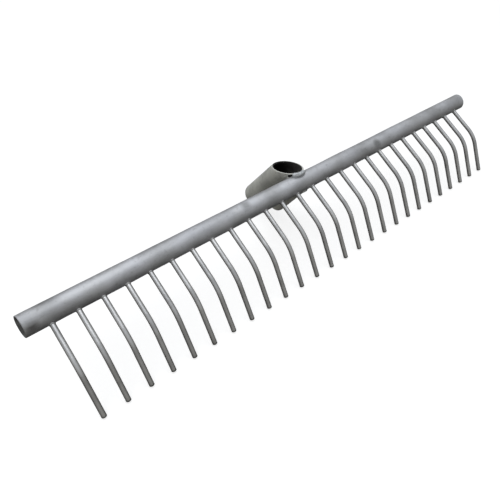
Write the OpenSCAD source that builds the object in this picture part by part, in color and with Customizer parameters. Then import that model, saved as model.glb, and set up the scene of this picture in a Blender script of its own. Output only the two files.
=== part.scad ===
// Head of a wide hand rake: a round crossbar tube with a row of hooked round tines,
// an open handle socket lying across the back of the bar, and a short brace tube
// under the socket. It stands as it lies on a floor, on the tine tips and the socket's rim.

/* [Crossbar] */
// Length of the crossbar tube at its longest side
crossbar_len = 755; // [732:1:900]
// Outside diameter of the crossbar tube
crossbar_od = 25; // [24:0.5:25]
// Wall thickness of the crossbar tube
crossbar_wall = 1.5; // [1.2:0.1:2.5]
// How far the tube's ends are cut out of square
end_slant = 9.5; // [0:0.5:15]

/* [Tines] */
// Number of tines in the row
tine_count = 26; // [6:2:26]
// Distance from one tine to the next
tine_pitch = 28; // [20:0.5:28]
// Diameter of the tine rod
tine_d = 6; // [5:0.5:8]
// Crossbar axis to the corner of the bend
tine_root_len = 65.5; // [55:0.5:80]
// Corner of the bend to the tip
tine_tip_len = 60.6; // [50:0.1:75]
// How far the tip leg is bent down
tine_bend = 32.5; // [20:0.5:40]
// Centreline radius of the bend
tine_bend_r = 50; // [20:1:80]
// Sideways shift of the row and the socket from the middle of the crossbar
row_shift = 1; // [-10:1:10]
// Bevel round a cut tip
tip_bevel = 0.8; // [0.4:0.1:1.2]

/* [Handle socket] */
// Outside diameter of the socket tube
socket_od = 33.7; // [33:0.1:35]
// Wall thickness of the socket tube
socket_wall = 2.6; // [2.4:0.1:3.2]
// Crossbar level to the middle of the slanted mouth, along the socket
mouth_back = 6.5; // [4:0.1:9]
// Lean of the socket away from square to the tine roots
socket_lean = 10.4; // [8:0.1:13]
// Crossbar axis to socket axis
socket_offset = 27.1; // [27:0.1:28]
// Slant of the mouth from a square cut
mouth_slant = 51; // [40:1:55]

/* [Brace] */
// Outside diameter of the brace tube
brace_od = 25; // [22:0.5:26]
// Wall thickness of the brace tube
brace_wall = 2; // [1.5:0.1:3]
// Crossbar axis to the free end of the brace
brace_len = 73.6; // [60:0.1:90]
// Crossbar axis to brace axis, towards the tines
brace_drop = 0.9; // [0.5:0.1:2]
// Lean of the brace away from square to the tine roots
brace_lean = 7.8; // [7:0.1:10]

/* [Lie] */
// Tilt of the tine roots below level when the head lies on a floor
head_tilt = 28.2; // [20:0.1:35]

/* [Hidden] */
fine = 180;
rod_fine = 48;
// Free play round a rod in its drilled hole, and round a close saddle cut
hole_play = 0.05;
saddle_play = 0.1;
// Rough saddle notch in the socket, which beads bridge: its gap to the crossbar half-way
// across, and how far it is cut askew, so that it gapes on the left
notch_gap = 2.6;
notch_turn = 7;
// Length of rod that stands inside the crossbar
root_depth = 2;
// Each leg of a tine laps into the bend, which is a hair thicker than the rod
leg_lap = 0.5;
bend_swell = 0.02;
// Bead round a tine root: radius at the crossbar, radius at the rod, and height
bead_foot_r = 4.2;
bead_top_r = 3.15;
bead_h = 1.3;
// Beads in the grooves between the socket and the brace: radius, how deep they sit,
// length, and how far down the brace their middle is
seam_r = 2.2;
seam_sink = 1;
seam_len = 26;
seam_down = 30;
// The cut ends of the crossbar face this far forward of square to the tine roots
end_turn = 15.5;
// Bead round the brace's end: how far it spreads on the brace and on the bar
collar_w = 2;
// Run of bead drops that holds the mouth's lip to the bar: radius, height of their
// middles above the bar, number, and first and last angle round the mouth
drop_r = 3.2;
drop_lift = 2.4;
drop_count = 6;
drop_first = 74;
drop_last = 120;

zinc = [0.62, 0.63, 0.64];
dull_zinc = [0.52, 0.53, 0.51];
bead_zinc = [0.72, 0.74, 0.75];

bar_r = crossbar_od / 2;
bar_bore_r = bar_r - crossbar_wall;
tine_r = tine_d / 2;
socket_r = socket_od / 2;
socket_bore_r = socket_r - socket_wall;
brace_r = brace_od / 2;
brace_bore_r = brace_r - brace_wall;
row_len = (tine_count - 1) * tine_pitch;
// Straight length that the bend takes from each leg
bend_trim = tine_bend_r * tan(tine_bend / 2);

// Places across the bar, seen from its end: first in the head's frame
mouth_y = socket_offset * cos(socket_lean) + mouth_back * sin(socket_lean);
mouth_z = socket_offset * sin(socket_lean) - mouth_back * cos(socket_lean);

// The tip's lowest corner stands on the floor once the head is tilted
leg_fall = head_tilt + tine_bend;
tip_y = -tine_root_len * cos(head_tilt) - tine_tip_len * cos(leg_fall);
tip_drop = tine_root_len * sin(head_tilt) + tine_tip_len * sin(leg_fall);
bar_height = tip_drop + (tine_r - tip_bevel) * cos(leg_fall);

// The socket is as long as it takes to stand its handle end on the same floor
socket_fall = head_tilt + socket_lean;
mouth_height = bar_height + mouth_y * sin(head_tilt) + mouth_z * cos(head_tilt);
socket_len = (mouth_height - socket_r * sin(socket_fall)) / cos(socket_fall);
// Side of the blocks that cut things off, larger than all they cut
far = 4 * socket_len;

// The head's depth on the floor, which the frame is centred on
mouth_depth = mouth_y * cos(head_tilt) - mouth_z * sin(head_tilt);
back_y = mouth_depth + socket_len * sin(socket_fall) + socket_r * cos(socket_fall);
front_y = tip_y + tip_bevel * cos(leg_fall) - tine_r * sin(leg_fall);
mid_y = (front_y + back_y) / 2;

// Half-length of the mouth's oval, and its rise towards the tines
mouth_half = socket_r / cos(mouth_slant);
mouth_rise = mouth_slant - socket_lean;

// Grooves between the socket and the brace, from the brace's axis, half-way down the beads
spread = socket_lean - brace_lean;
axis_gap = socket_offset + brace_drop * cos(socket_lean) + seam_down * sin(spread);
groove_a = socket_r + seam_sink;
groove_b = brace_r + seam_sink;
groove_y = (axis_gap * axis_gap + groove_b * groove_b - groove_a * groove_a) / (2 * axis_gap);
groove_x = sqrt(max(0, groove_b * groove_b - groove_y * groove_y));

function two_digits(i) = str(i < 10 ? "0" : "", i);
function tine_name(i) = str("tine_", two_digits(i));
function tine_x(i) = row_shift + (i - 1) * tine_pitch - row_len / 2;

// The head's own frame, with the crossbar axis as X and the tine roots along -Y
module head() {
    translate([0, -mid_y, bar_height]) rotate([head_tilt, 0, 0]) children();
}

// The socket's frame: origin in the middle of the mouth, handle end along -Z
module socket_frame() {
    translate([row_shift, mouth_y, mouth_z]) rotate([socket_lean, 0, 0]) children();
}

// The brace's frame: origin beside the crossbar axis, free end along -Z
module brace_frame() {
    translate([row_shift, -brace_drop, 0]) rotate([brace_lean, 0, 0]) children();
}

// Everything past the slanted cut at one end of the crossbar: side is -1 or 1
module past_end(side) {
    rotate([end_turn, 0, 0])
        translate([side * (crossbar_len / 2 - bar_r * tan(end_slant)), 0, 0])
        rotate([0, -side * end_slant, 0])
        translate([(side - 1) * far / 2, -far / 2, -far / 2]) cube(far);
}

module bar_rod(r, length) {
    rotate([0, 90, 0]) cylinder(r = r, h = length, center = true, $fn = fine);
}

// Everything above the slanted mouth
module above_mouth() {
    rotate([-mouth_slant, 0, 0]) translate([-far / 2, -far / 2, 0]) cube(far);
}

module socket_rod(r) {
    socket_frame() translate([0, 0, -socket_len]) cylinder(r = r, h = 2 * socket_len, $fn = fine);
}

module brace_rod(r) {
    brace_frame() translate([0, 0, -brace_len]) cylinder(r = r, h = brace_len, $fn = fine);
}

module tine_rod(r) {
    corner = tine_root_len - bend_trim;
    root = bar_bore_r - root_depth;
    leg_len = tine_tip_len - bend_trim + leg_lap;
    translate([0, -root, 0]) rotate([90, 0, 0])
        cylinder(r = r, h = corner + leg_lap - root, $fn = rod_fine);
    translate([0, -corner, -tine_bend_r]) rotate([0, 90, 0]) rotate([0, 0, 180])
        rotate_extrude(angle = tine_bend, $fn = fine)
        translate([tine_bend_r, 0]) circle(r = r + bend_swell, $fn = rod_fine);
    translate([0, -tine_root_len, 0]) rotate([tine_bend, 0, 0])
        translate([0, leg_lap - bend_trim, 0]) rotate([90, 0, 0]) {
            cylinder(r = r, h = leg_len - tip_bevel, $fn = rod_fine);
            translate([0, 0, leg_len - tip_bevel])
                cylinder(r1 = r, r2 = r - tip_bevel, h = tip_bevel, $fn = rod_fine);
        }
}

// A straight rod in the place of every tine root
module root_rods(r) {
    for (i = [1:tine_count])
        translate([tine_x(i), -bar_bore_r + root_depth, 0]) rotate([90, 0, 0])
            cylinder(r = r, h = bar_r, $fn = rod_fine);
}

module crossbar() {
    color(zinc) head() difference() {
        bar_rod(bar_r, crossbar_len);
        bar_rod(bar_bore_r, 2 * crossbar_len);
        root_rods(tine_r + hole_play);
        past_end(-1);
        past_end(1);
    }
}

module tine(i) {
    color(zinc) head() translate([tine_x(i), 0, 0]) tine_rod(tine_r);
}

module tine_welds() {
    color(bead_zinc) head() difference() {
        for (i = [1:tine_count])
            translate([tine_x(i), -bar_r + 1, 0]) rotate([90, 0, 0])
                cylinder(r1 = bead_foot_r, r2 = bead_top_r, h = bead_h + 1, $fn = rod_fine);
        bar_rod(bar_r, crossbar_len);
        root_rods(tine_r);
    }
}

// The socket tube with its slanted mouth, notched where it crosses the bar
module socket_shape() {
    difference() {
        socket_frame() difference() {
            translate([0, 0, -socket_len])
                cylinder(r = socket_r, h = socket_len + socket_od, $fn = fine);
            translate([0, 0, -2 * socket_len])
                cylinder(r = socket_bore_r, h = 4 * socket_len, $fn = fine);
            above_mouth();
        }
        translate([row_shift, 0, 0]) rotate([0, 0, -notch_turn])
            bar_rod(bar_r + notch_gap, crossbar_len);
    }
}

module handle_socket() {
    color(dull_zinc) head() socket_shape();
}

module socket_brace() {
    color(dull_zinc) head() difference() {
        brace_rod(brace_r);
        brace_frame() translate([0, 0, -2 * brace_len])
            cylinder(r = brace_bore_r, h = 4 * brace_len, $fn = fine);
        bar_rod(bar_r + saddle_play, crossbar_len);
        socket_rod(socket_r + saddle_play);
    }
}

// A point on the lower lip of the mouth, by angle round its oval, in the head's frame
function lip(a) = [
    row_shift + socket_r * cos(a),
    mouth_y - mouth_half * sin(a) * cos(mouth_rise),
    mouth_z + mouth_half * sin(a) * sin(mouth_rise)
];

// Run of drops that fills the gap between the mouth's lip and the crossbar
module mouth_weld() {
    color(bead_zinc) head() difference() {
        for (k = [0:drop_count - 1]) {
            p = lip(drop_first + (drop_last - drop_first) * k / (drop_count - 1));
            away = (bar_r + drop_lift) / norm([p.y, p.z]);
            translate([p.x, p.y * away, p.z * away]) sphere(r = drop_r, $fn = rod_fine);
        }
        bar_rod(bar_r, crossbar_len);
        socket_rod(socket_bore_r + saddle_play);
        socket_shape();
    }
}

// Bead where the brace's end saddles the bar, clear of the beads round the tines
module brace_weld() {
    color(bead_zinc) head() difference() {
        intersection() {
            brace_frame() translate([0, 0, -brace_len])
                cylinder(r = brace_r + collar_w, h = brace_len - bead_foot_r, $fn = fine);
            bar_rod(bar_r + collar_w, 4 * brace_od);
        }
        brace_rod(brace_r);
        bar_rod(bar_r, crossbar_len);
        socket_rod(socket_r);
    }
}

// Two beads in the grooves on either side between the socket and the brace
module seam_welds() {
    color(bead_zinc) head() difference() {
        brace_frame() for (side = [-1, 1])
            translate([side * groove_x, groove_y, -seam_down]) rotate([spread / 2, 0, 0])
                cylinder(r = seam_r, h = seam_len, center = true, $fn = rod_fine);
        brace_rod(brace_r);
        socket_rod(socket_r);
    }
}

crossbar();
handle_socket();
socket_brace();
for (i = [1:tine_count]) tine(i);
tine_welds();
mouth_weld();
brace_weld();
seam_welds();
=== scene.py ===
import math

import bpy
from mathutils import Matrix, Vector, noise


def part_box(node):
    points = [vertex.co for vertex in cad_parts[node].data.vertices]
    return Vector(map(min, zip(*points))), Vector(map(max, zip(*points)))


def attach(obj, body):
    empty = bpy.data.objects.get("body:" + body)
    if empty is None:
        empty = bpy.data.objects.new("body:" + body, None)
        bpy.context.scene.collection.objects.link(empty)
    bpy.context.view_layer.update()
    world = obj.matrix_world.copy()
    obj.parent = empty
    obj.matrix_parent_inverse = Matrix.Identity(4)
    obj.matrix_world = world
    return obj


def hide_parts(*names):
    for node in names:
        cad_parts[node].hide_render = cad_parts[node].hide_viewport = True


# The looks of a galvanised rake head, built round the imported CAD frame. Everything is in metres.
MM = 0.001

# Design angles and lengths of the head that its boxes alone don't tell, as in the CAD source
HEAD_TILT = math.radians(28.2)
SOCKET_LEAN = math.radians(10.4)
MOUTH_SLANT = math.radians(51)
BRACE_LEAN = math.radians(7.8)
END_SLANT = math.radians(9.5)
END_TURN = math.radians(15.5)
TINE_BEND = math.radians(32.5)
TINE_ROOT_LEN = 0.0655
TINE_TIP_LEN = 0.0606
TINE_BEND_R = 0.050
BAR_WALL = 0.0015
SOCKET_WALL = 0.0026
BRACE_WALL = 0.002
BRACE_DROP = 0.0009
BRACE_LEN = 0.0736
SOCKET_OFFSET = 0.0271
MOUTH_BACK = 0.0065
NOTCH_GAP = 0.0026
NOTCH_TURN = math.radians(7)
TINE_ROOT_DEPTH = 0.002

# Camera, at the angle that the head is seen from
CAMERA_PLACE = (-0.3675, -0.3551, 0.4478)
CAMERA_AZIMUTH = math.radians(39.15)
CAMERA_ELEVATION = math.radians(44.34)
LENS = 32.61
SENSOR = 36

# Surroundings that the metal mirrors
DEEP = (0.030, 0.029, 0.026)
WARM_DARK = (0.165, 0.160, 0.148)
GREY_WALL = (0.26, 0.26, 0.255)
COOL_CEILING = (0.55, 0.57, 0.60)

# The floor: half its width, how far it lies below the feet, its tone and its glow
FLOOR_REACH = 6
FLOOR_DROP = 0.0003
FLOOR_TONE = (0.52, 0.52, 0.515)
FLOOR_GLOW = 0.7

# The lamps: place, size, power and colour; both aim at the middle of the head
LAMP_TARGET = (0, 0, 0.05)
TOP_LAMP = ((-0.02, 0.42, 1.7), (2.1, 2.1), 12.5, (0.94, 0.96, 1.0))
FILL_LAMP = ((-0.9, -0.9, 0.6), (1.0, 1.0), 2.6, (1.0, 0.98, 0.94))

# The zinc's markings: how fine they are, the span of the noise that shows, and how much
# of each is mixed in
CLOUDS, CLOUD_SPAN = 22, (0.36, 0.66)
PATCHES, PATCH_SPAN, PATCH_SHARE = 55, (0.34, 0.58), 0.75
SPECKS, SPECK_SPAN, SPECK_SHARE = 190, (0.27, 0.42), 0.3
SPANGLES, SPANGLE_SHARE = 160, 0.035
GRAIN = 700
SCUFF_SPAN = (0.40, 0.56)
# Shades that the patches and specks take out of the zinc's tone
PATCH_SHADE = (0.74, 0.74, 0.745)
SPECK_SHADE = (0.45, 0.44, 0.42)
WHITE = (1, 1, 1)

# Marks on the crossbar: place, reach and tint
BAR_SCUFFS = (
    ((-0.366, -0.019, 0.091), 0.009, (0.40, 0.39, 0.38)),
    ((-0.345, -0.008, 0.097), 0.016, (0.70, 0.70, 0.70)),
    ((-0.095, -0.012, 0.096), 0.009, (0.60, 0.60, 0.59)),
    ((0.149, -0.018, 0.093), 0.009, (0.50, 0.50, 0.49)),
)

# Rounding of a tube's cut edges, and the length of the quads along a tube
EDGE = 0.35 * MM
STEP = 2 * MM
# Play between a saddle cut and the tube that lies in it
SADDLE_PLAY = 0.1 * MM
# Sides of the rings of a thin tube, of the socket with its cutters, and of a rod
TUBE_SIDES = 72
SOCKET_SIDES = 96
ROD_SIDES = 28
# How deep the bevels are that lead into the bores; the bevels take the bores' painted shade
BAR_CHAMFER = 0.3 * MM
BRACE_CHAMFER = 0.5 * MM
SOCKET_CHAMFER = 1.5 * MM
# How much wider the socket's chamfer is on the far side of its mouth than half-way, which spreads
# the bore's painted shade further over the far rim
LIP_UNEVEN = 0.6 * MM
# Length of the rods that cut saddles, and the turn that lays a piece's Z along the crossbar
CUTTER_LEN = 0.2
ALONG_X = Matrix.Rotation(math.pi / 2, 4, "Y")
# A tine's tip: its rounding, the rings on that by angle, and those on its flat by share
# of the radius; then the quads down a tine's straight legs and round its bend
TIP_EASE = 0.6 * MM
TIP_DEGREES = (90, 65, 40, 20, 0)
TIP_RINGS = (0.75, 0.4)
LEG_STEPS = 16
BEND_STEPS = 14

# How far the zinc stands proud of the steel: seed, slow waves, fine ripple
BAR_SKIN = (3.1, 0.28 * MM, 0.05 * MM)
SOCKET_SKIN = (7.7, 0.1 * MM, 0.04 * MM)
# The rods share the waves and the ripple, and the seed goes up from one to the next
ROD_SKIN = (0.07 * MM, 0.03 * MM)
ROD_SEED = 11.0
ROD_SEED_STEP = 1.7
# How many to a metre the waves, ripples, bead drops and bead grains are
SKIN_WAVES = 28
SKIN_RIPPLES = 130
BEAD_DROPS = 420
BEAD_GRAIN = 1300
# How far a bead swells between its lumps and hollows, as a share of a lump, and its roughness
BEAD_SWELL = 0.6
BEAD_ROUGH = 0.05 * MM


# ---------------------------------------------------------------- meshes

def mesh_object(name, verts, faces, materials=()):
    mesh = bpy.data.meshes.new(name)
    mesh.from_pydata([tuple(v) for v in verts], [], faces)
    mesh.validate()
    for material in materials:
        mesh.materials.append(material)
    for polygon in mesh.polygons:
        polygon.use_smooth = True
    obj = bpy.data.objects.new(name, mesh)
    bpy.context.scene.collection.objects.link(obj)
    return obj


def bridge(rings, closed):
    """Quads between neighbouring rings of equal length.

    closed also joins the last ring to the first.
    """
    count = len(rings[0])
    faces = []
    for i in range(len(rings) if closed else len(rings) - 1):
        a, b = i * count, (i + 1) % len(rings) * count
        for k in range(count):
            n = (k + 1) % count
            faces.append((a + k, a + n, b + n, b + k))
    return faces


def tube_profile(length, outer, inner, chamfer):
    """The wall of a tube as a closed run of (along, radius, side) points.

    side is 1 on the outside, 0 on the cut faces and the chamfers' mouths, and -1 in the bore.
    """
    stations = max(2, round(length / STEP))
    few = max(2, stations // 6)
    turns = [math.radians(a) for a in (30, 60, 90)]
    out = []
    for k in range(stations + 1):
        out.append((EDGE + (length - 2 * EDGE) * k / stations, outer, 1))
    for t in turns:
        out.append((length - EDGE + EDGE * math.sin(t), outer - EDGE + EDGE * math.cos(t), 0))
    out.append((length, inner + chamfer, 0))
    for k in range(few + 1):
        out.append((length - chamfer - (length - 2 * chamfer) * k / few, inner, -1))
    out.append((0, inner + chamfer, 0))
    for t in reversed(turns):
        out.append((EDGE - EDGE * math.sin(t), outer - EDGE + EDGE * math.cos(t), 0))
    return out


def zinc_skin(point, seed, slow, fine):
    """How far the zinc stands proud of the steel at a point: slow waves and a fine grain."""
    wave = noise.noise(point * SKIN_WAVES + Vector((seed, 0, 0)))
    ripple = noise.noise(point * SKIN_RIPPLES + Vector((0, seed, 0)))
    return slow * wave + fine * ripple


def tube_object(name, matrix, length, wall, chamfer, segments, skin, materials,
                top=None, bottom=None, uneven=0):
    """A tube along local -Z, from z = 0 down; wall is its (outer, inner) radii.

    top and bottom give how far up the two ends are moved at (x, y), which makes them slanted.
    skin is the zinc's (seed, slow, fine). uneven is how much wider the bore's chamfer gets
    towards +Y. The bore and its chamfers take the second of the materials.
    """
    rings, sides = [], []
    for along, radius, side in tube_profile(length, *wall, chamfer):
        share = along / length
        ring = []
        for k in range(segments):
            a = 2 * math.pi * k / segments
            x, y = math.cos(a), math.sin(a)
            reach = radius
            if side == 0 and radius < wall[0] - EDGE:
                reach += uneven * y
            point = Vector((x * reach, y * reach, -along))
            if top is not None:
                point.z += top(point.x, point.y) * (1 - share)
            if bottom is not None:
                point.z += bottom(point.x, point.y) * share
            if side == 1:
                grow = zinc_skin(matrix @ point, *skin)
                point.x += x * grow
                point.y += y * grow
            ring.append(matrix @ point)
        rings.append(ring)
        sides.append(side)
    tube = mesh_object(name, [v for ring in rings for v in ring], bridge(rings, True), materials)
    # Faces that touch the bore, the chamfers among them, take the second material, the bore's
    # painted shade.
    for polygon in tube.data.polygons:
        polygon.material_index = int(any(sides[v // segments] == -1 for v in polygon.vertices))
    return tube


def cut(obj, matrix, radius, length):
    """Takes a long round rod, along the matrix's Z, out of a piece."""
    rings = []
    for z in (-length / 2, length / 2):
        ring = []
        for k in range(SOCKET_SIDES):
            a = 2 * math.pi * k / SOCKET_SIDES
            ring.append(matrix @ Vector((radius * math.cos(a), radius * math.sin(a), z)))
        rings.append(ring)
    faces = bridge(rings, False)
    faces.append(tuple(reversed(range(SOCKET_SIDES))))
    faces.append(tuple(range(SOCKET_SIDES, 2 * SOCKET_SIDES)))
    tool = mesh_object(obj.name + "_cutter", [v for ring in rings for v in ring], faces)
    modifier = obj.modifiers.new("saddle", "BOOLEAN")
    modifier.operation = "DIFFERENCE"
    modifier.solver = "EXACT"
    modifier.object = tool
    apply_modifiers(obj)
    bpy.data.objects.remove(tool)


def apply_modifiers(obj):
    """Swaps a piece's mesh for the one that its modifiers give."""
    graph = bpy.context.evaluated_depsgraph_get()
    mesh = bpy.data.meshes.new_from_object(obj.evaluated_get(graph))
    obj.modifiers.clear()
    old = obj.data
    obj.data = mesh
    bpy.data.meshes.remove(old)
    for polygon in mesh.polygons:
        polygon.use_smooth = True


# ---------------------------------------------------------------- places

def head_frame():
    """The crossbar axis as X and the tine roots along -Y, as in the CAD source."""
    low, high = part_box("crossbar")
    centre = (low + high) / 2
    return Matrix.Translation(centre) @ Matrix.Rotation(HEAD_TILT, 4, "X")


def row_middle():
    """The X of the middle of the tine row, which the socket stands at."""
    low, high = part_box("handle_socket")
    return (low.x + high.x) / 2


def socket_frame(head):
    """The middle of the socket's mouth, with the handle end along -Z."""
    lean = Matrix.Rotation(SOCKET_LEAN, 4, "X")
    mouth = lean @ Vector((0, SOCKET_OFFSET, -MOUTH_BACK))
    return head @ Matrix.Translation((row_middle(), mouth.y, mouth.z)) @ lean


def brace_frame(head):
    """The brace's upper end, beside the crossbar axis, with its free end along -Z."""
    place = Vector((row_middle(), -BRACE_DROP, 0))
    return head @ Matrix.Translation(place) @ Matrix.Rotation(BRACE_LEAN, 4, "X")


# ---------------------------------------------------------------- pieces

def make_crossbar(head, materials):
    low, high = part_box("crossbar")
    length = high.x - low.x
    radius = (high.z - low.z) / 2
    wall = (radius, radius - BAR_WALL)
    start = head @ Matrix.Translation((length / 2, 0, 0)) @ ALONG_X
    lean = math.tan(END_SLANT)

    def forward(x, y):
        """How far a point of the section stands towards the side that the cut ends face."""
        return -x * math.cos(END_TURN) - y * math.sin(END_TURN)

    return tube_object("crossbar_tube", start, length, wall, BAR_CHAMFER, TUBE_SIDES, BAR_SKIN,
                       materials,
                       top=lambda x, y: -lean * (radius + forward(x, y)),
                       bottom=lambda x, y: lean * (radius + forward(x, y)))


def make_socket(head, bar_radius, materials):
    low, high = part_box("handle_socket")
    radius = (high.x - low.x) / 2
    start = socket_frame(head)
    fall = HEAD_TILT + SOCKET_LEAN
    length = (start.translation.z - radius * math.sin(fall)) / math.cos(fall)
    rise = math.tan(MOUTH_SLANT)
    wall = (radius, radius - SOCKET_WALL)
    socket = tube_object("socket_tube", start, length, wall, SOCKET_CHAMFER, SOCKET_SIDES,
                         SOCKET_SKIN, materials, top=lambda x, y: -y * rise, uneven=LIP_UNEVEN)
    askew = Matrix.Translation((row_middle(), 0, 0)) @ Matrix.Rotation(-NOTCH_TURN, 4, "Z")
    cut(socket, head @ askew @ ALONG_X, bar_radius + NOTCH_GAP, CUTTER_LEN)
    return socket


def make_brace(head, bar_radius, socket_radius, materials):
    low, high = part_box("socket_brace")
    radius = (high.x - low.x) / 2
    wall = (radius, radius - BRACE_WALL)
    brace = tube_object("brace_tube", brace_frame(head), BRACE_LEN, wall, BRACE_CHAMFER, TUBE_SIDES,
                        SOCKET_SKIN, materials)
    cut(brace, head @ ALONG_X, bar_radius + SADDLE_PLAY, CUTTER_LEN)
    cut(brace, socket_frame(head), socket_radius + SADDLE_PLAY, 2 * CUTTER_LEN)
    return brace


def tine_line(bar_radius):
    """Points and directions down a tine's centreline in the head's frame, at x = 0."""
    trim = TINE_BEND_R * math.tan(TINE_BEND / 2)
    start = bar_radius - BAR_WALL - TINE_ROOT_DEPTH
    corner = TINE_ROOT_LEN - trim
    line = []
    for k in range(LEG_STEPS):
        line.append((Vector((0, -start - (corner - start) * k / LEG_STEPS, 0)), 0.0))
    for k in range(BEND_STEPS):
        a = TINE_BEND * k / BEND_STEPS
        y = -corner - TINE_BEND_R * math.sin(a)
        z = TINE_BEND_R * (math.cos(a) - 1)
        line.append((Vector((0, y, z)), a))
    end = TINE_TIP_LEN - trim
    down = Vector((0, -math.cos(TINE_BEND), -math.sin(TINE_BEND)))
    begin = Vector((0, -TINE_ROOT_LEN, 0)) + down * trim
    for k in range(LEG_STEPS + 1):
        line.append((begin + down * (end * k / LEG_STEPS), TINE_BEND))
    return line


def tine_ring(head, x, centre, angle, radius, seed):
    """One ring of a tine's skin, square to its centreline at a point."""
    middle = Vector((x, 0, 0)) + centre
    across = Vector((1, 0, 0))
    side = Vector((0, -math.sin(angle), math.cos(angle)))
    points = []
    for k in range(ROD_SIDES):
        a = 2 * math.pi * k / ROD_SIDES
        out = across * math.cos(a) + side * math.sin(a)
        grow = zinc_skin(head @ (middle + out * radius), seed, *ROD_SKIN)
        points.append(head @ (middle + out * (radius + grow)))
    return points


def make_tine(head, index, line):
    """A bent rod with a rounded tip, closed at both ends."""
    low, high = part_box(f"tine_{index:02d}")
    radius = (high.x - low.x) / 2
    x = (low.x + high.x) / 2
    seed = ROD_SEED + index * ROD_SEED_STEP
    rings = [tine_ring(head, x, centre, angle, radius, seed) for centre, angle in line[:-1]]
    tip, angle = line[-1]
    down = Vector((0, -math.cos(angle), -math.sin(angle)))
    for degrees in TIP_DEGREES:
        rise = TIP_EASE * math.sin(math.radians(degrees))
        rings.append(tine_ring(head, x, tip - down * rise, angle, radius - TIP_EASE + rise, seed))
    for share in TIP_RINGS:
        rings.append(tine_ring(head, x, tip, angle, (radius - TIP_EASE) * share, seed))
    faces = bridge(rings, False)
    last = (len(rings) - 1) * ROD_SIDES
    faces.append(tuple(range(last, last + ROD_SIDES)))
    faces.append(tuple(reversed(range(ROD_SIDES))))
    return mesh_object(f"tine_rod_{index:02d}", [v for ring in rings for v in ring], faces)


def make_bead(frame, name, node, voxel, seed, lumps, softening):
    """A weld bead grown from its CAD solid: remeshed, softened and roughened."""
    obj = bpy.data.objects.new(name, frame["nodes"][node].data.copy())
    bpy.context.scene.collection.objects.link(obj)
    obj.data.materials.clear()
    remesh = obj.modifiers.new("remesh", "REMESH")
    remesh.mode = "VOXEL"
    remesh.voxel_size = voxel
    smooth = obj.modifiers.new("smooth", "SMOOTH")
    smooth.iterations = softening
    apply_modifiers(obj)
    mesh = obj.data
    normals = [v.normal.copy() for v in mesh.vertices]
    for vertex, normal in zip(mesh.vertices, normals):
        drop = noise.noise(vertex.co * BEAD_DROPS + Vector((seed, 0, 0)))
        grain = noise.noise(vertex.co * BEAD_GRAIN + Vector((0, seed, 0)))
        vertex.co += normal * (lumps * (BEAD_SWELL + drop) + BEAD_ROUGH * grain)
    return obj


# ---------------------------------------------------------------- materials

def zinc(name, pale, dark, roughness, bump, metallic=0.85, streak=(1, 1, 1), scuffs=()):
    """Hot-dip zinc: cloudy patches, faint crystal spangle, fine grain and a few dull specks.

    streak stretches the patches. scuffs are (place, reach, tint) of local marks.
    """
    material = bpy.data.materials.new(name)
    material.use_nodes = True
    tree = material.node_tree
    nodes, links = tree.nodes, tree.links
    shader = nodes["Principled BSDF"]
    shader.inputs["Metallic"].default_value = metallic
    shader.inputs["IOR"].default_value = 1.5
    place = nodes.new("ShaderNodeTexCoord")
    stretch = nodes.new("ShaderNodeMapping")
    stretch.inputs["Scale"].default_value = streak
    links.new(place.outputs["Object"], stretch.inputs["Vector"])

    def noise_node(scale, detail, source=place.outputs["Object"]):
        node = nodes.new("ShaderNodeTexNoise")
        node.inputs["Scale"].default_value = scale
        node.inputs["Detail"].default_value = detail
        links.new(source, node.inputs["Vector"])
        return node.outputs["Fac"]

    def ramp_node(source, span, low_colour, high_colour):
        node = nodes.new("ShaderNodeValToRGB")
        node.color_ramp.elements[0].position = span[0]
        node.color_ramp.elements[0].color = (*low_colour, 1)
        node.color_ramp.elements[1].position = span[1]
        node.color_ramp.elements[1].color = (*high_colour, 1)
        links.new(source, node.inputs["Fac"])
        return node.outputs["Color"]

    def mix_node(blend, factor, first, second):
        node = nodes.new("ShaderNodeMix")
        node.data_type = "RGBA"
        node.blend_type = blend
        if isinstance(factor, float):
            node.inputs["Factor"].default_value = factor
        else:
            links.new(factor, node.inputs["Factor"])
        links.new(first, node.inputs["A"])
        links.new(second, node.inputs["B"])
        return node.outputs["Result"]

    clouds = noise_node(CLOUDS, 5)
    patches = noise_node(PATCHES, 6, stretch.outputs["Vector"])
    grain = noise_node(GRAIN, 3)
    specks = noise_node(SPECKS, 4)
    spangle = nodes.new("ShaderNodeTexVoronoi")
    spangle.inputs["Scale"].default_value = SPANGLES
    links.new(place.outputs["Object"], spangle.inputs["Vector"])
    single = nodes.new("ShaderNodeSeparateColor")
    links.new(spangle.outputs["Color"], single.inputs["Color"])

    tone = ramp_node(clouds, CLOUD_SPAN, dark, pale)
    stain = ramp_node(patches, PATCH_SPAN, PATCH_SHADE, WHITE)
    tone = mix_node("MULTIPLY", PATCH_SHARE, tone, stain)
    tone = mix_node("OVERLAY", SPANGLE_SHARE, tone, single.outputs["Red"])
    speckle = ramp_node(specks, SPECK_SPAN, SPECK_SHADE, WHITE)
    tone = mix_node("MULTIPLY", SPECK_SHARE, tone, speckle)
    for centre, reach, tint in scuffs:
        mask = near_node(nodes, links, place, centre, reach, patches)
        tone = mix_node("MULTIPLY", mask, tone, ramp_node(grain, (0, 1), tint, tint))
    links.new(tone, shader.inputs["Base Color"])

    rough = nodes.new("ShaderNodeMapRange")
    rough.inputs["To Min"].default_value = roughness - 0.08
    rough.inputs["To Max"].default_value = roughness + 0.12
    links.new(clouds, rough.inputs["Value"])
    links.new(rough.outputs["Result"], shader.inputs["Roughness"])

    height = nodes.new("ShaderNodeMath")
    height.operation = "ADD"
    links.new(grain, height.inputs[0])
    links.new(specks, height.inputs[1])
    relief = nodes.new("ShaderNodeBump")
    relief.inputs["Strength"].default_value = bump
    relief.inputs["Distance"].default_value = 0.0003
    links.new(height.outputs["Value"], relief.inputs["Height"])
    links.new(relief.outputs["Normal"], shader.inputs["Normal"])
    return material


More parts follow.
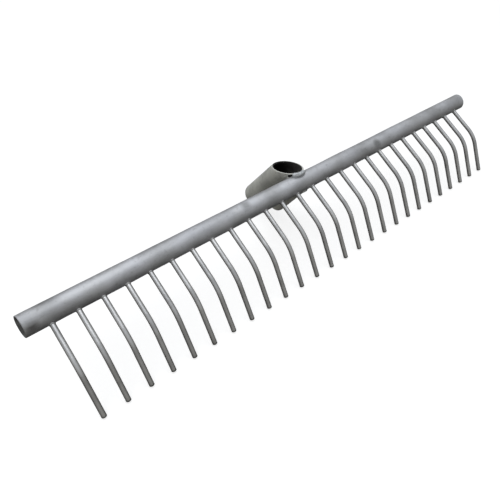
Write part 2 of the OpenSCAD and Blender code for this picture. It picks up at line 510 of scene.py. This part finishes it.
def near_node(nodes, links, place, centre, reach, patches):
    """A ragged mask that is 1 near a place on the piece and fades to 0 at the given reach."""
    gap = nodes.new("ShaderNodeVectorMath")
    gap.operation = "DISTANCE"
    gap.inputs[1].default_value = centre
    links.new(place.outputs["Object"], gap.inputs[0])
    fade = nodes.new("ShaderNodeMapRange")
    fade.inputs["From Min"].default_value = reach
    fade.inputs["From Max"].default_value = reach * 0.3
    links.new(gap.outputs["Value"], fade.inputs["Value"])
    ragged = nodes.new("ShaderNodeMapRange")
    ragged.inputs["From Min"].default_value = SCUFF_SPAN[0]
    ragged.inputs["From Max"].default_value = SCUFF_SPAN[1]
    links.new(patches, ragged.inputs["Value"])
    product = nodes.new("ShaderNodeMath")
    product.operation = "MULTIPLY"
    links.new(fade.outputs["Result"], product.inputs[0])
    links.new(ragged.outputs["Result"], product.inputs[1])
    return product.outputs["Value"]


def painted_shade_bore(name, dark, pale):
    """Painted shade for the inside of a tube: a near-black base colour for the unlit steel, with
    paler brownish patches here and there that are painted light on the inner wall.
    """
    material = bpy.data.materials.new(name)
    material.use_nodes = True
    tree = material.node_tree
    shader = tree.nodes["Principled BSDF"]
    shader.inputs["Metallic"].default_value = 0.2
    shader.inputs["Roughness"].default_value = 0.75
    place = tree.nodes.new("ShaderNodeTexCoord")
    painted_light_patches = tree.nodes.new("ShaderNodeTexNoise")
    painted_light_patches.inputs["Scale"].default_value = 60
    ramp = tree.nodes.new("ShaderNodeValToRGB")
    ramp.color_ramp.elements[0].position = 0.4
    ramp.color_ramp.elements[0].color = (*dark, 1)
    ramp.color_ramp.elements[1].position = 0.75
    ramp.color_ramp.elements[1].color = (*pale, 1)
    tree.links.new(place.outputs["Object"], painted_light_patches.inputs["Vector"])
    tree.links.new(painted_light_patches.outputs["Fac"], ramp.inputs["Fac"])
    tree.links.new(ramp.outputs["Color"], shader.inputs["Base Color"])
    return material


def paper(name, colour):
    """A plain matt floor with a barely uneven tone."""
    material = bpy.data.materials.new(name)
    material.use_nodes = True
    tree = material.node_tree
    shader = tree.nodes["Principled BSDF"]
    shader.inputs["Roughness"].default_value = 0.9
    shader.inputs["Specular IOR Level"].default_value = 0.1
    shader.inputs["Emission Color"].default_value = (1, 1, 1, 1)
    shader.inputs["Emission Strength"].default_value = FLOOR_GLOW
    tone = tree.nodes.new("ShaderNodeTexNoise")
    tone.inputs["Scale"].default_value = 3
    ramp = tree.nodes.new("ShaderNodeValToRGB")
    ramp.color_ramp.elements[0].color = (*[c * 0.98 for c in colour], 1)
    ramp.color_ramp.elements[1].color = (*colour, 1)
    tree.links.new(tone.outputs["Fac"], ramp.inputs["Fac"])
    tree.links.new(ramp.outputs["Color"], shader.inputs["Base Color"])
    return material


# ---------------------------------------------------------------- stage

def add_camera():
    data = bpy.data.cameras.new("camera")
    data.lens = LENS
    data.sensor_width = SENSOR
    data.clip_start = 0.01
    camera = bpy.data.objects.new("camera", data)
    camera.location = CAMERA_PLACE
    camera.rotation_euler = (math.pi / 2 - CAMERA_ELEVATION, 0, -CAMERA_AZIMUTH)
    bpy.context.scene.collection.objects.link(camera)
    bpy.context.scene.camera = camera


def add_area(name, place, size, power, colour):
    data = bpy.data.lights.new(name, "AREA")
    data.shape = "RECTANGLE"
    data.size, data.size_y = size
    data.energy = power
    data.color = colour
    light = bpy.data.objects.new(name, data)
    light.location = place
    aim = Vector(LAMP_TARGET) - Vector(place)
    light.rotation_euler = aim.to_track_quat("-Z", "Y").to_euler()
    bpy.context.scene.collection.objects.link(light)
    return light


def add_floor():
    verts = [(x * FLOOR_REACH, y * FLOOR_REACH, 0) for x, y in ((-1, -1), (1, -1), (1, 1), (-1, 1))]
    floor = mesh_object("floor", verts, [(0, 1, 2, 3)])
    floor.location.z = -FLOOR_DROP
    floor.data.materials.append(paper("floor_paper", FLOOR_TONE))
    # It takes the light and the shadows, but doesn't light the metal or show in it
    floor.visible_glossy = False
    floor.visible_diffuse = False


def add_world(stops, strength):
    """Surroundings that go from a dark ground to a pale ceiling; stops are (height, colour)."""
    world = bpy.data.worlds.new("studio")
    world.use_nodes = True
    tree = world.node_tree
    place = tree.nodes.new("ShaderNodeTexCoord")
    split = tree.nodes.new("ShaderNodeSeparateXYZ")
    scale = tree.nodes.new("ShaderNodeMapRange")
    scale.inputs["From Min"].default_value = -1
    ramp = tree.nodes.new("ShaderNodeValToRGB")
    elements = ramp.color_ramp.elements
    while len(elements) < len(stops):
        elements.new(0.5)
    for element, (height, colour) in zip(elements, stops):
        element.position = (height + 1) / 2
        element.color = (*colour, 1)
    tree.links.new(place.outputs["Generated"], split.inputs["Vector"])
    tree.links.new(split.outputs["Z"], scale.inputs["Value"])
    tree.links.new(scale.outputs["Result"], ramp.inputs["Fac"])
    background = tree.nodes["Background"]
    tree.links.new(ramp.outputs["Color"], background.inputs["Color"])
    background.inputs["Strength"].default_value = strength
    bpy.context.scene.world = world


def light_stage():
    add_world(((-1, DEEP), (-0.5, DEEP), (-0.15, WARM_DARK), (0.15, GREY_WALL),
               (1, COOL_CEILING)), 1)
    add_area("top", *TOP_LAMP)
    fill = add_area("fill", *FILL_LAMP)
    fill.visible_glossy = False
    bpy.context.scene.view_settings.view_transform = "Standard"


# ---------------------------------------------------------------- the head

def dress(piece, node, slot, *materials):
    """Puts a piece on the body in the place of its CAD node; tubes come with their materials."""
    for material in materials:
        piece.data.materials.append(material)
    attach(piece, "root")
    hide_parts(node)


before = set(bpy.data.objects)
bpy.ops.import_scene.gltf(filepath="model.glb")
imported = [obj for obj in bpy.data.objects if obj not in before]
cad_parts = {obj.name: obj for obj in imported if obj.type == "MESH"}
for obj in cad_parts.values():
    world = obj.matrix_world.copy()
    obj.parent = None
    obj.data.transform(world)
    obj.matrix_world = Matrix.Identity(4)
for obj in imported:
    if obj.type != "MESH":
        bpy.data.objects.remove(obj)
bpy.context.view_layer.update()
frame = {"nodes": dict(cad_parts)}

bar_zinc = zinc("bar_zinc", (0.74, 0.75, 0.775), (0.60, 0.605, 0.61), 0.52, 0.3,
                streak=(0.4, 1, 1), scuffs=BAR_SCUFFS)
# Partly painted light: the socket and brace zinc is lifted to a paler, warmer tone than the bar's,
# to make up for light that their walls don't get.
socket_zinc_and_painted_light = zinc("socket_zinc_and_painted_light", (0.93, 0.93, 0.86), (0.82, 0.82, 0.76), 0.55, 0.12, 0.5)
rod_zinc = zinc("rod_zinc", (0.82, 0.82, 0.81), (0.70, 0.70, 0.695), 0.2, 0.04)
# The bore materials are painted shade: dark base colours for the unlit insides of the tubes, near
# black in the socket and brace, dark grey in the crossbar.
bore_painted_shade = painted_shade_bore("bore_painted_shade", (0.012, 0.011, 0.010), (0.05, 0.045, 0.042))
bar_bore_painted_shade = painted_shade_bore("bar_bore_painted_shade", (0.10, 0.10, 0.097), (0.30, 0.30, 0.29))
bead_zinc = zinc("bead_zinc", (0.66, 0.68, 0.69), (0.55, 0.57, 0.57), 0.5, 0.4)

head = head_frame()
bar_low, bar_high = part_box("crossbar")
bar_radius = (bar_high.z - bar_low.z) / 2
socket_low, socket_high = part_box("handle_socket")
socket_radius = (socket_high.x - socket_low.x) / 2
tine_count = sum(1 for n in frame["nodes"] if n.startswith("tine_") and n[5:].isdigit())

socket_coats = (socket_zinc_and_painted_light, bore_painted_shade)
dress(make_crossbar(head, (bar_zinc, bar_bore_painted_shade)), "crossbar", "galvanised_bar")
dress(make_socket(head, bar_radius, socket_coats), "handle_socket", "galvanised_socket")
dress(make_brace(head, bar_radius, socket_radius, socket_coats), "socket_brace", "galvanised_socket")
line = tine_line(bar_radius)
for index in range(1, tine_count + 1):
    dress(make_tine(head, index, line), f"tine_{index:02d}", "galvanised_rod", rod_zinc)

# Beads: name, CAD node, voxel, seed, height of the lumps, rounds of softening, material
BEADS = (
    ("root_beads", "tine_welds", 0.45 * MM, 1.5, 0.15 * MM, 4, rod_zinc),
    ("mouth_bead", "mouth_weld", 0.4 * MM, 2.5, 0.45 * MM, 16, bead_zinc),
    ("brace_bead", "brace_weld", 0.4 * MM, 3.5, 0.2 * MM, 4, bead_zinc),
    ("seam_beads", "seam_welds", 0.5 * MM, 4.5, 0.25 * MM, 4, bead_zinc),
)
for name, node, voxel, seed, lumps, softening, coat in BEADS:
    dress(make_bead(frame, name, node, voxel, seed, lumps, softening), node, "weld_bead", coat)

add_camera()
add_floor()
light_stage()
